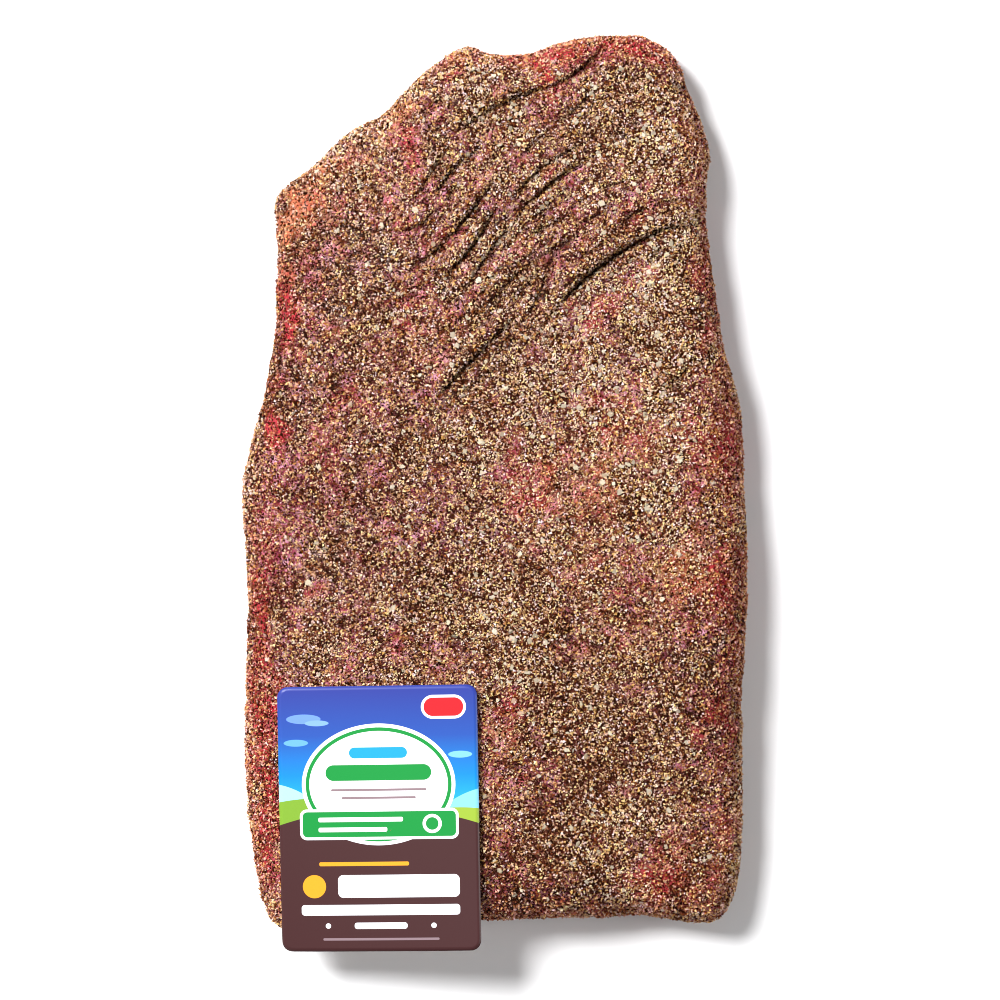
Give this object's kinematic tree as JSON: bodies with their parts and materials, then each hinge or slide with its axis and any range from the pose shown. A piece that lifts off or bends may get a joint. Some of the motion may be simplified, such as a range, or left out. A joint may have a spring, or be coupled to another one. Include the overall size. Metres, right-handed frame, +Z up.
{
  "type": "seasoned beef brisket",
  "caption": "Trimmed flat of raw beef brisket, folded at its narrow end and coated with cracked pepper and flaky salt, with a plain printed card label lying on its corner.",
  "frame": {"origin": "bottom centre of the whole part's box, on the surface the meat lies on", "axes": "+X to the right of the picture, +Y along the meat to its folded narrow end, +Z up"},
  "size_m": [0.1918, 0.3474, 0.0422],
  "materials": {
    "meat": null,
    "pepper": null,
    "salt": null,
    "label_card": null
  },
  "bodies": {
    "root": {"brisket": "meat", "label": "label_card"}
  },
  "joints": []
}
